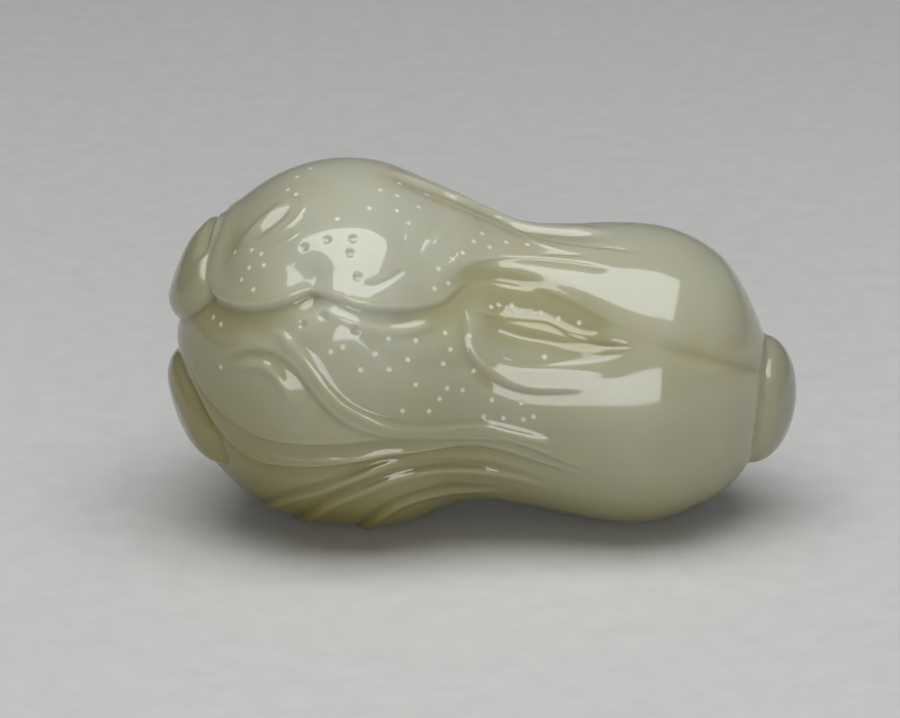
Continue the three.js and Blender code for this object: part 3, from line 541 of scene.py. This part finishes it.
# Fine lines that only show from close by.
fine_wrinkles = [
    # Veins of the lobes.
    Wrinkle(0.07, 0.13, 1.2, front=[[-6.3, 7.9], [-5.6, 8.5], [-4.9, 9.3], [-4.5, 10.1], [-4.1, 10.8]]),
    Wrinkle(0.06, 0.12, 1.2, front=[[-7.1, 6.3], [-6.0, 6.9], [-5.2, 7.5], [-4.3, 8.4]]),
    Wrinkle(0.05, 0.12, 0.8, front=[[-9.5, 6.1], [-8.4, 6.4], [-7.4, 6.1]]),
    Wrinkle(-0.06, 0.15, 1.2, front=[[-6.1, 11.2], [-5.0, 10.9], [-4.7, 10.3]]),
    Wrinkle(-0.04, 0.16, 1.5, front=[[5.6, 12.7], [6.5, 11.8], [6.9, 11.0]]),
    Wrinkle(-0.03, 0.18, 1.5, front=[[6.9, 10.7], [5.8, 9.6], [5.2, 8.2], [4.9, 7.0]]),
    Wrinkle(0.02, 0.16, 1.5, front=[[7.4, 10.4], [6.6, 9.3], [6.1, 8.0]]),
    Wrinkle(-0.03, 0.16, 1.2, front=[[8.3, 8.6], [7.6, 7.4], [6.8, 6.8]]),
    Wrinkle(-0.02, 0.14, 1.2, front=[[3.8, 9.6], [3.7, 8.2], [4.2, 7.0]]),
    # The bright edge of the lower leaf in the slot.
    Wrinkle(0.06, 0.14, 2, front=[
        [10.4, 2.8], [11.4, 2.4], [12.7, 2.1], [14.3, 1.8], [15.9, 1.7], [17.1, 1.6], [19.5, 1.7],
        [23.9, 2.1]]),
    # Folds of the stalk.
    Wrinkle(0.10, 0.20, 2.5, front=[[12.6, 10.1], [15.0, 9.4], [17.5, 9.1]]),
    Wrinkle(-0.10, 0.25, 3, front=[[12.0, 10.9], [14.6, 10.1], [17.8, 9.8], [20.6, 9.8], [23.6, 9.6]]),
    Wrinkle(-0.08, 0.22, 2, front=[[13.9, 8.6], [16.3, 8.9], [19.0, 9.0]]),
    # The second line of the middle leaf's fold, and the rim of the lower leaf.
    Wrinkle(0.08, 0.18, 3, front=[
        [3.6, -6.6], [5.2, -6.7], [8.4, -6.5], [11.5, -5.9], [14.0, -6.1], [16.9, -6.6], [19.3, -7.0]]),
    Wrinkle(0.09, 0.18, 4, front=[
        [-6.6, -9.0], [-5.3, -9.5], [-3.7, -9.7], [-2.1, -9.7], [-0.1, -9.5], [1.9, -9.2], [4.2, -8.5],
        [6.2, -8.1], [8.5, -7.7], [10.9, -7.3], [12.5, -7.2], [13.7, -7.4], [16.6, -7.7], [19.5, -8.2]]),
]

# Dimples drilled in the leaves: large ones, and small frosted ones.
large_dimples = [
    [-4.0, 6.9], [-2.3, 7.7], [-0.3, 8.0], [-0.4, 6.8], [0.4, 5.0],
    [-3.5, 1.0], [-1.9, 1.8], [0.7, 1.0],
]
small_dimples = [
    [-9.6, 6.1], [-8.1, 6.3], [-7.3, 6.1], [-8.1, 4.9], [-6.9, 5.2], [-8.6, 3.9], [-7.5, 3.2],
    [-5.9, 11.5], [-5.2, 11.2], [-5.3, 12.6], [-4.3, 13.4], [-1.7, 9.5], [0.7, 10.7], [1.4, 12.3],
    [2.8, 12.0], [2.9, 10.8], [2.9, 13.1], [4.6, 11.3], [3.9, 9.9], [5.2, 12.5], [7.7, 7.5],
    [8.5, 8.1], [9.3, 9.1], [9.9, 9.8], [10.6, 8.8], [11.9, 9.3], [13.6, 9.3], [6.7, 6.6],
    [6.6, 5.0], [7.7, 5.6],
    [-10.9, 0.7], [-10.2, 0.2], [-9.6, -3.2], [-1.0, -0.9], [-0.1, -0.4], [2.4, -0.7], [3.4, 0.6],
    [1.5, -2.1], [3.7, -1.8], [5.1, -0.9], [5.2, -5.0], [6.0, -2.8], [7.3, -4.8], [8.0, -0.9],
    [8.5, -2.8], [8.4, 0.3], [7.9, 1.6], [5.6, 0.7], [8.0, -3.7], [9.8, -2.8], [9.8, 1.5],
    [10.5, -1.2], [12.2, -3.3], [14.6, -3.2], [11.7, -4.7], [13.3, -4.6], [14.9, -4.5],
    [15.7, -4.2], [16.0, 0.6],
    [11.4, 4.2], [12.0, 4.5], [13.0, 4.6], [13.2, 4.2], [13.8, 4.3], [14.8, 4.2], [15.3, 4.3],
    [16.7, 4.0], [18.4, 3.8],
]
back_dimples = [
    [-7.0, 162], [-6.0, 151], [-5.0, 168], [-4.4, 157], [-3.0, 146], [-2.5, 170], [-1.5, 156],
    [0.6, 149], [1.0, 172], [2.1, 160], [3.6, 151], [4.1, 167], [5.6, 173], [6.2, 160],
]
LARGE_RADIUS, LARGE_DEPTH = 0.50, 0.13
SMALL_RADIUS, SMALL_DEPTH = 0.24, 0.05
# These are parts of a dimple's radius: its flat bottom, and where its frost thins and ends.
DIMPLE_BOTTOM = 0.15
FROST_THINS, FROST_ENDS = 0.4, 1.1
large_middles = settle([seen(*place) for place in large_dimples])
small_middles = settle(
    [seen(*place) for place in small_dimples] + [around(*place) for place in back_dimples])


def distance_to_nearest(points, middles):
    least = np.full(len(points), 1e9)
    for middle in middles:
        least = np.minimum(least, np.linalg.norm(points - middle, axis=1))
    return least


def dimple(distance, radius, depth):
    return -depth * (1 - smoothstep(distance, DIMPLE_BOTTOM * radius, radius))


def carve(places):
    """Points of the carved surface, how far each stands above the smooth body, and its frost."""
    points = body_points(places)
    normals = body_normals(places)
    height = np.zeros(len(points))
    for item in leaf_edges + wrinkles + fine_wrinkles:
        item.add(points, normals, height)
    for middle, swell, reach in swells:
        height += swell * np.exp(-((np.linalg.norm(points - middle, axis=1) / reach) ** 2))
    broad = height.copy()
    to_large = distance_to_nearest(points, large_middles)
    to_small = distance_to_nearest(points, small_middles)
    height += dimple(to_large, LARGE_RADIUS, LARGE_DEPTH)
    height += dimple(to_small, SMALL_RADIUS, SMALL_DEPTH)
    frosted = 1 - smoothstep(to_small, FROST_THINS * SMALL_RADIUS, FROST_ENDS * SMALL_RADIUS)
    carved = points + normals * height[:, None]
    carved[:, 2] = np.maximum(0.0, carved[:, 2])
    return carved, broad, frosted


# How long the net's edges may be in millimetres: anywhere, on a line by its width and at a
# dimple, and how much longer they get with the distance from these.
LONGEST = 0.48
LINE_SHORTEST, LINE_LONGEST, LINE_BY_WIDTH, LINE_GROWTH, LINE_REACH = 0.08, 0.18, 0.55, 0.14, 3.0
DIMPLE_LENGTH, DIMPLE_GROWTH, DIMPLE_REACH, LARGE_MORE = 0.09, 0.7, 1.2, 0.2
BALL_DETAIL, HALVINGS = 6, 4


def wanted_length(places):
    """The edge length that the detail at each place needs, in millimetres."""
    points = body_points(places)
    normals = body_normals(places)
    length = np.full(len(points), LONGEST)
    for item in leaf_edges + wrinkles + fine_wrinkles:
        which, distance, _run, _side = item.near(points, normals, LINE_REACH * item.width)
        finest = min(LINE_LONGEST, max(LINE_SHORTEST, LINE_BY_WIDTH * item.width))
        length[which] = np.minimum(length[which], finest + LINE_GROWTH * distance / item.width)
    to_large = distance_to_nearest(points, large_middles) - LARGE_MORE
    to_small = distance_to_nearest(points, small_middles)
    beyond = np.maximum(0.0, np.minimum(to_large, to_small) - DIMPLE_REACH * SMALL_RADIUS)
    return np.minimum(length, DIMPLE_LENGTH + DIMPLE_GROWTH * beyond)


def halve_long_edges(places, triangles):
    """Splits every edge that is longer than its place wants, and the triangles beside it.

    A triangle with one cut edge becomes two, one with two becomes three, and one with three four.
    """
    edges = np.sort(triangles[:, [[0, 1], [1, 2], [2, 0]]].reshape(-1, 2), axis=1)
    edges, which = np.unique(edges, axis=0, return_inverse=True)
    which = which.reshape(-1, 3)
    points = body_points(places)
    lengths = np.linalg.norm(points[edges[:, 0]] - points[edges[:, 1]], axis=1)
    middles = unit(places[edges[:, 0]] + places[edges[:, 1]])
    marked = lengths > wanted_length(middles)
    middle_index = np.full(len(edges), -1)
    middle_index[marked] = len(places) + np.arange(marked.sum())
    places = np.vstack([places, middles[marked]])
    cut = middle_index[which]
    result = [triangles[(cut < 0).all(axis=1)]]

    def add(chosen, *corners):
        result.append(np.stack([corner[chosen] for corner in corners], axis=1))

    for turn in range(3):
        a, b, c = np.roll(triangles, -turn, axis=1).T
        ab, bc, ca = np.roll(cut, -turn, axis=1).T
        one = (ab >= 0) & (bc < 0) & (ca < 0)
        add(one, a, ab, c)
        add(one, ab, b, c)
        two = (ab >= 0) & (bc >= 0) & (ca < 0)
        add(two, ab, b, bc)
        add(two, a, ab, bc)
        add(two, a, bc, c)
        if turn == 0:
            three = (ab >= 0) & (bc >= 0) & (ca >= 0)
            add(three, a, ab, ca)
            add(three, ab, b, bc)
            add(three, ca, bc, c)
            add(three, ab, bc, ca)
    return places, np.vstack(result)


def make_carving():
    bpy.ops.mesh.primitive_ico_sphere_add(subdivisions=BALL_DETAIL)
    ball = bpy.context.object
    places = np.empty(len(ball.data.vertices) * 3)
    ball.data.vertices.foreach_get("co", places)
    places = unit(places.reshape(-1, 3))
    triangles = np.empty(len(ball.data.polygons) * 3, dtype=int)
    ball.data.polygons.foreach_get("vertices", triangles)
    triangles = triangles.reshape(-1, 3)
    bpy.data.objects.remove(ball)
    # The places' y runs to the front, so the triangles are turned round to face out.
    triangles = triangles[:, ::-1]
    for _turn in range(HALVINGS):
        places, triangles = halve_long_edges(places, triangles)
    points, broad, frosted = carve(places)
    mesh = bpy.data.meshes.new("jade_cabbage_carving")
    mesh.from_pydata((points * MM).tolist(), [], triangles.tolist())
    mesh.polygons.foreach_set("use_smooth", [True] * len(mesh.polygons))
    for name, values in (("relief", broad), ("frosted", frosted)):
        attribute = mesh.attributes.new(name, "FLOAT", "POINT")
        attribute.data.foreach_set("value", values.astype(np.float32))
    mesh.update()
    carving = bpy.data.objects.new("jade_cabbage_carving", mesh)
    bpy.context.collection.objects.link(carving)
    print("carving triangles:", len(triangles))
    return carving


class Nodes:
    """A short way to add nodes to a material and link them."""

    def __init__(self, name):
        self.material = bpy.data.materials.new(name)
        self.material.use_nodes = True
        self.tree = self.material.node_tree
        self.shader = self.tree.nodes["Principled BSDF"]

    def add(self, kind, inputs=None, **settings):
        node = self.tree.nodes.new(kind)
        for key, value in settings.items():
            setattr(node, key, value)
        for key, value in (inputs or {}).items():
            self.put(value, node.inputs[key])
        return node

    def put(self, value, socket):
        if isinstance(value, bpy.types.NodeSocket):
            self.tree.links.new(value, socket)
        else:
            socket.default_value = value

    def ramp(self, value, stops):
        node = self.add("ShaderNodeValToRGB", {"Fac": value})
        elements = node.color_ramp.elements
        while len(elements) < len(stops):
            elements.new(0.5)
        for element, (position, colour) in zip(elements, stops):
            element.position = position
            element.color = (*colour, 1.0)
        return node.outputs["Color"]

    def span(self, value, ends):
        return self.add("ShaderNodeMapRange", {"Value": value, **ends}).outputs["Result"]

    def math(self, operation, one, two):
        node = self.add("ShaderNodeMath", operation=operation)
        self.put(one, node.inputs[0])
        self.put(two, node.inputs[1])
        return node.outputs["Value"]

    def blend(self, part, one, two):
        node = self.add("ShaderNodeMix", data_type="RGBA")
        self.put(part, node.inputs["Factor"])
        self.put(one, node.inputs[6])
        self.put(two, node.inputs[7])
        return node.outputs[2]


# The colours of the jade: its clouds from dark to light, and what they turn into, painted shade among them.
CLOUDS = [(0.30, (0.44, 0.445, 0.335)), (0.52, (0.48, 0.485, 0.385)), (0.72, (0.52, 0.53, 0.435))]
CLOUD_SCALE = 75.0
HOLLOW_SHADE_COLOUR = (0.37, 0.345, 0.19, 1.0)
TINT_COLOUR = (0.47, 0.37, 0.22, 1.0)
OLIVE_AND_SHADE = (0.18, 0.145, 0.003, 1.0)
END_SHADE_COLOUR = (0.20, 0.17, 0.045, 1.0)
STUB_SHADE_COLOUR = (0.30, 0.30, 0.22, 1.0)
FROST_COLOUR = (0.80, 0.80, 0.70, 1.0)

# Places below this relief in millimetres are hollows, which get painted shade so fast and so far.
HOLLOW_SHADE_BELOW, HOLLOW_SHADE_GAIN, HOLLOW_SHADE_MOST = 0.03, 2.0, 0.75

# Where the colour changes along Z or X, in metres, and how much of it is mixed in at both ends.
# These two paint the underside darker: partly the stone's olive tone, partly painted shade.
OLIVE_AND_SHADE_BY_HEIGHT = {"From Min": 0.0200, "From Max": 0.0020, "To Min": 0.0, "To Max": 1.0}
OLIVE_AND_SHADE_BY_LENGTH = {"From Min": 0.010, "From Max": -0.018, "To Min": 0.60, "To Max": 1.0}
# These two paint shade on the leaf end and on the stub.
END_SHADE_BY_LENGTH = {"From Min": -0.014, "From Max": -0.024, "To Min": 0.0, "To Max": 0.6}
STUB_SHADE_BY_LENGTH = {"From Min": 0.0215, "From Max": 0.0232, "To Min": 0.0, "To Max": 0.8}

FROST_MIX = 0.6
POLISH_ROUGHNESS, FROST_ROUGHNESS = 0.09, 0.40
JADE_SHADER = {
    "IOR": 1.66,
    "Subsurface Weight": 1.0,
    "Subsurface Radius": (1.0, 0.85, 0.5),
    "Subsurface Scale": 0.0016,
    "Subsurface Anisotropy": 0.3,
}
WAVE_SCALE, WAVE_STRENGTH, WAVE_DISTANCE = 260.0, 0.06, 0.0004


def jade_colour(nodes, where, frosted):
    relief = nodes.add("ShaderNodeAttribute", attribute_name="relief").outputs["Fac"]
    clouds = nodes.add("ShaderNodeTexNoise", {
        "Vector": where, "Scale": CLOUD_SCALE, "Detail": 3.0, "Roughness": 0.5})
    colour = nodes.ramp(clouds.outputs["Fac"], CLOUDS)
    # Painted shade: the deeper the relief sinks, the more of the hollow shade colour is mixed in.
    hollow_shade = nodes.math("MULTIPLY", nodes.math("SUBTRACT", HOLLOW_SHADE_BELOW, relief), HOLLOW_SHADE_GAIN)
    hollow_shade = nodes.add("ShaderNodeClamp", {"Value": hollow_shade, "Min": 0.0, "Max": HOLLOW_SHADE_MOST})
    colour = nodes.blend(hollow_shade.outputs["Result"], colour, HOLLOW_SHADE_COLOUR)

    for middle, reach, strength in tints:
        gap = nodes.add("ShaderNodeVectorMath", {0: where, 1: tuple(middle * MM)}, operation="DISTANCE")
        part = nodes.add("ShaderNodeMapRange", {
            "Value": gap.outputs["Value"], "From Min": 0.0, "From Max": reach * MM, "To Min": strength,
            "To Max": 0.0}, interpolation_type="SMOOTHSTEP")
        colour = nodes.blend(part.outputs["Result"], colour, TINT_COLOUR)

    # The underside is painted darker and olive, most of all below the head: partly the stone's olive tone,
    # partly painted shade.
    split = nodes.add("ShaderNodeSeparateXYZ", {"Vector": where}).outputs
    low = nodes.span(split["Z"], OLIVE_AND_SHADE_BY_HEIGHT)
    left = nodes.span(split["X"], OLIVE_AND_SHADE_BY_LENGTH)
    colour = nodes.blend(nodes.math("MULTIPLY", low, left), colour, OLIVE_AND_SHADE)
    # Its leaf end and its stub get painted shade, darker than the rest.
    colour = nodes.blend(nodes.span(split["X"], END_SHADE_BY_LENGTH), colour, END_SHADE_COLOUR)
    colour = nodes.blend(nodes.span(split["X"], STUB_SHADE_BY_LENGTH), colour, STUB_SHADE_COLOUR)
    return nodes.blend(nodes.math("MULTIPLY", frosted, FROST_MIX), colour, FROST_COLOUR)


def jade_material():
    nodes = Nodes("jade")
    where = nodes.add("ShaderNodeTexCoord").outputs["Object"]
    frosted = nodes.add("ShaderNodeAttribute", attribute_name="frosted").outputs["Fac"]
    rough = nodes.math("ADD", nodes.math("MULTIPLY", frosted, FROST_ROUGHNESS), POLISH_ROUGHNESS)
    waves = nodes.add("ShaderNodeTexNoise", {"Vector": where, "Scale": WAVE_SCALE, "Detail": 2.0})
    bump = nodes.add("ShaderNodeBump", {
        "Height": waves.outputs["Fac"], "Strength": WAVE_STRENGTH, "Distance": WAVE_DISTANCE})
    inputs = nodes.shader.inputs
    nodes.put(jade_colour(nodes, where, frosted), inputs["Base Color"])
    nodes.put(rough, inputs["Roughness"])
    nodes.put(bump.outputs["Normal"], inputs["Normal"])
    for name, value in JADE_SHADER.items():
        nodes.put(value, inputs[name])
    return nodes.material


FLOOR_SIZE = 4.0
FLOOR_COLOURS = [(0.3, (0.60, 0.60, 0.59)), (0.7, (0.64, 0.64, 0.63))]
FLOOR_GRAIN = 400.0
FLOOR_ROUGHNESS = 0.7


def floor_material():
    nodes = Nodes("pale_floor")
    where = nodes.add("ShaderNodeTexCoord").outputs["Object"]
    grain = nodes.add("ShaderNodeTexNoise", {"Vector": where, "Scale": FLOOR_GRAIN, "Detail": 4.0})
    colour = nodes.ramp(grain.outputs["Fac"], FLOOR_COLOURS)
    nodes.put(colour, nodes.shader.inputs["Base Color"])
    nodes.put(FLOOR_ROUGHNESS, nodes.shader.inputs["Roughness"])
    return nodes.material


def make_floor():
    bpy.ops.mesh.primitive_plane_add(size=FLOOR_SIZE)
    floor = bpy.context.object
    floor.name = "floor"
    floor.data.materials.append(floor_material())


SENSOR_WIDTH = 36.0


def make_camera():
    camera = bpy.data.objects.new("camera", bpy.data.cameras.new("camera"))
    bpy.context.collection.objects.link(camera)
    camera.location = Vector(EYE) * MM
    camera.rotation_mode = "QUATERNION"
    camera.rotation_quaternion = Vector(VIEW_AHEAD).to_track_quat("-Z", "Y")
    camera.data.sensor_width = SENSOR_WIDTH
    camera.data.lens = SENSOR_WIDTH * VIEW_FROM / VIEW_WIDTH
    camera.data.clip_start = 0.01
    camera.data.clip_end = 10.0
    bpy.context.scene.camera = camera


# The studio's two lights, in metres and watts: place, size and power.
LIT_POINT = Vector((0.0, 0.0, 0.014))
SOFTBOXES = {
    "overhead_softbox": ((0.0, -0.06, 0.40), (0.50, 0.30), 1.48),
    "front_card": ((0.02, -0.50, 0.08), (0.42, 0.26), 1.22),
}
STUDIO_COLOUR, STUDIO_STRENGTH = (0.9, 0.92, 0.95, 1.0), 0.12


def make_softbox(name, place, size, power):
    light = bpy.data.lights.new(name, "AREA")
    light.shape = "RECTANGLE"
    light.size, light.size_y = size
    light.energy = power
    lamp = bpy.data.objects.new(name, light)
    bpy.context.collection.objects.link(lamp)
    lamp.location = place
    lamp.rotation_mode = "QUATERNION"
    lamp.rotation_quaternion = (LIT_POINT - Vector(place)).to_track_quat("-Z", "Y")


def make_world():
    world = bpy.data.worlds.new("studio")
    world.use_nodes = True
    background = world.node_tree.nodes["Background"]
    background.inputs["Color"].default_value = STUDIO_COLOUR
    background.inputs["Strength"].default_value = STUDIO_STRENGTH
    bpy.context.scene.world = world


carving = make_carving()
carving.data.materials.append(jade_material())
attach(carving, "root")
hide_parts("jade_cabbage")

make_floor()
make_camera()

for name, (place, size, power) in SOFTBOXES.items():
    make_softbox(name, place, size, power)
make_world()
bpy.context.scene.view_settings.view_transform = "Standard"
